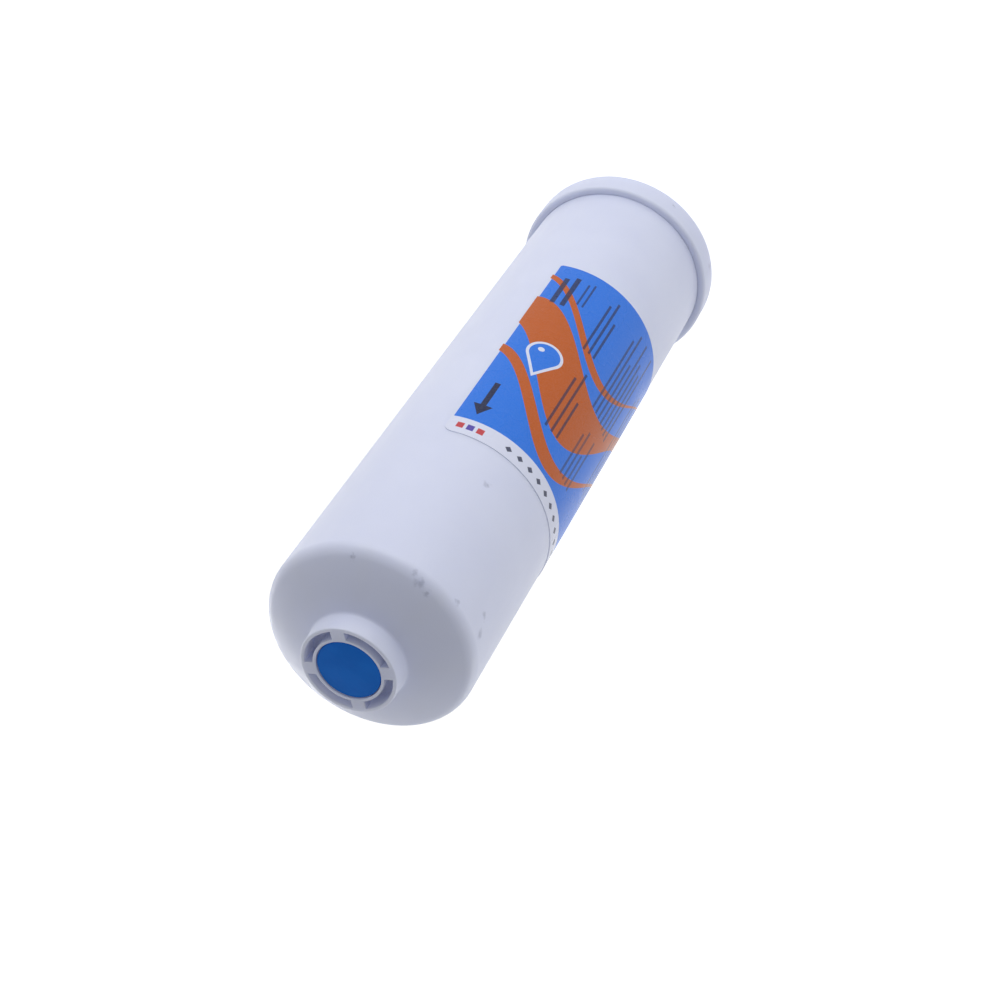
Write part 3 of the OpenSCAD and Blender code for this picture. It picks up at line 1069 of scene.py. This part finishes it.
# %% Printed film
def printed_film():
    material, recipe, place = start_material("printed_film")
    sheet = Sheet(recipe)
    ink = recipe.grain(place, size=0.5)
    colour = ink_white

    def lay(mask, tint, strength=1.0):
        nonlocal colour
        colour = recipe.blend(mask * strength, colour, tint)

    lay(sheet.bar(print_margin, label_w - print_margin, strip_h, label_h - print_margin), ink_blue)
    for share, width in waves:
        lay(sheet.wave(share, width), ink_orange)
    lay(sheet.bar(*arrow_shaft).most(sheet.point(*arrow_head)), ink_dark)
    lay(sheet.droplet(*droplet_outside), ink_white)
    lay(sheet.droplet(*droplet_inside), ink_blue)
    lay(sheet.disc(*droplet_shine), ink_white)
    for *group, strength in rule_groups:
        lay(sheet.rules(*group), ink_dark, strength)
    for i, tint in enumerate((ink_red, ink_violet, ink_red)):
        shift = square_pitch * i
        lay(sheet.bar(square_left + shift, square_right + shift, square_top, square_bottom), tint)
    across = abs((sheet.along - diamond_row[0]) % diamond_pitch - diamond_pitch / 2)
    diamond = (diamond_reach - across - abs(sheet.down - diamond_middle)).between(-ink_edge, ink_edge)
    lay(diamond.least(sheet.bar(*diamond_row)), ink_dark, diamond_strength)
    lay(ink, ink_white, worn_ink)
    ripple = recipe.grain(place, size=9)
    end_material(recipe, {
        "Base Color": colour,
        "Roughness": 0.24 + 0.08 * recipe.grain(place, size=14),
        "Normal": recipe.bump(ripple * 0.9 + ink * 0.1, depth=0.015),
        "Specular IOR Level": 0.17,
    })
    return material


# %% [markdown]
# What is inside has its own finishes. The beads are two resins, amber and pale, mixed. The felts are
# needled fibres that cross at all angles. The foam is a froth of open cells. The screens are moulded from
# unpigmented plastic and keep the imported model's shape.

# %% Resin beads
bead_size = 0.7
bead_amber = (0.33, 0.115, 0.018, 1)
bead_pale = (0.62, 0.39, 0.15, 1)
# Painted shade: each bead darkens towards this colour at its rim and in the gaps between beads
painted_bead_gap_shade = (0.08, 0.03, 0.008, 1)
bead_kinds = (0.35, 0.65)
bead_shade_reach = (0.45, 0.8)


def resin_beads():
    material, recipe, place = start_material("resin_beads")
    cell = {"Vector": place, "Scale": 1 / (bead_size * mm)}
    reach = recipe.node("ShaderNodeTexVoronoi", None, cell, "Distance")
    own = recipe.node("ShaderNodeTexVoronoi", None, cell, "Color")
    kind = recipe.node("ShaderNodeSeparateXYZ", None, {0: own}, "X").between(*bead_kinds)
    colour = recipe.blend(kind, bead_amber, bead_pale)
    # Painted shade at the beads' rims and in the gaps between them
    colour = recipe.blend(reach.between(*bead_shade_reach), colour, painted_bead_gap_shade)
    end_material(recipe, {
        "Base Color": colour,
        "Roughness": 0.25 + 0.3 * reach,
        "Normal": recipe.bump(1 - reach, depth=0.3),
    })
    return material


# %% Felt
fibre_size = 0.16
fibre_stretch = 9
felt_dark = (0.50, 0.48, 0.42, 1)
felt_light = (0.80, 0.79, 0.73, 1)


def needled_felt():
    material, recipe, place = start_material("needled_felt")
    fibres = recipe.grain(recipe.stretch(place, fibre_stretch, 1, 1), fibre_size, detail=3)
    crossing = recipe.grain(recipe.stretch(place, 1, fibre_stretch, 1), fibre_size, detail=3)
    fibres = fibres.most(crossing)
    tufts = recipe.grain(place, size=2.2)
    end_material(recipe, {
        "Base Color": recipe.blend(fibres * 0.6 + tufts * 0.4, felt_dark, felt_light),
        "Roughness": 0.95 - 0.1 * fibres,
        "Normal": recipe.bump(fibres * 0.7 + tufts * 0.3, depth=0.15),
        "Sheen Weight": 0.3,
    })
    return material


# %% Foam
foam_cell = 1.1
foam_dark = (0.055, 0.056, 0.06, 1)
foam_light = (0.085, 0.086, 0.09, 1)
# Painted shade: the hollows of the open cells are darkened towards this colour
painted_hollow_shade = (0.008, 0.008, 0.009, 1)
foam_strut = (0.04, 0.22)


def open_cell_foam():
    material, recipe, place = start_material("open_cell_foam")
    cell = {"Vector": place, "Scale": 1 / (foam_cell * mm)}
    strut = recipe.node("ShaderNodeTexVoronoi", {"feature": "DISTANCE_TO_EDGE"}, cell, "Distance")
    # The hollows of the cells get painted shade in the colour, and a bump
    hollow = strut.between(*foam_strut)
    shade = recipe.grain(place, size=7)
    colour = recipe.blend(shade, foam_dark, foam_light)
    end_material(recipe, {
        "Base Color": recipe.blend(hollow, colour, painted_hollow_shade),
        "Roughness": 0.9 - 0.08 * shade,
        "Normal": recipe.bump(1 - hollow, depth=0.3),
    })
    return material


# %% Screen plastic
screen_dark = (0.60, 0.61, 0.62, 1)
screen_light = (0.68, 0.69, 0.70, 1)


def screen_plastic():
    material, recipe, place = start_material("screen_plastic")
    clouds = recipe.grain(place, size=9)
    skin = recipe.grain(place, size=0.4)
    end_material(recipe, {
        "Base Color": recipe.blend(clouds, screen_dark, screen_light),
        "Roughness": 0.4 + 0.12 * clouds,
        "Normal": recipe.bump(skin, depth=0.008),
    })
    return material


# %% [markdown]
# Each piece now gets its finish and rides on the body that carries it. The nodes of the imported model that
# it details are hidden.

# %% Finishes and riding
housing = housing_plastic()
plug_blue = plug_plastic()
film_print = printed_film()
felt = needled_felt()
frame_pieces = (
    # piece, finish, body, slot and the nodes that it stands for
    (canister, housing, "filter", "housing", ["canister"]),
    (end_cap, housing, "filter", "housing", ["end_cap"]),
    (outlet_plug, plug_blue, "outlet_plug_body", "plug", ["outlet_plug"]),
    (inlet_plug, plug_blue, "inlet_plug_body", "plug", ["inlet_plug"]),
    (label, film_print, "filter", "label_film", ["label", "label_field", "label_waves"]),
    (resin, resin_beads(), "filter", "resin", ["resin_bed"]),
    (outlet_felt, felt, "filter", "felt", ["outlet_pad"]),
    (inlet_felt, felt, "filter", "felt", ["inlet_pad"]),
    (foam, open_cell_foam(), "filter", "foam", ["foam_pad"]),
)
for piece, finish, body, slot, nodes in frame_pieces:
    piece.data.materials.clear()
    piece.data.materials.append(finish)
    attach(piece, body)
    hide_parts(*nodes)

screen_finish = screen_plastic()
for node in ("outlet_screen", "inlet_screen"):
    for slot in bpy.data.objects[node].material_slots:
        slot.material = screen_finish
print("finishes:", sorted(material.name for material in bpy.data.materials if material.users))
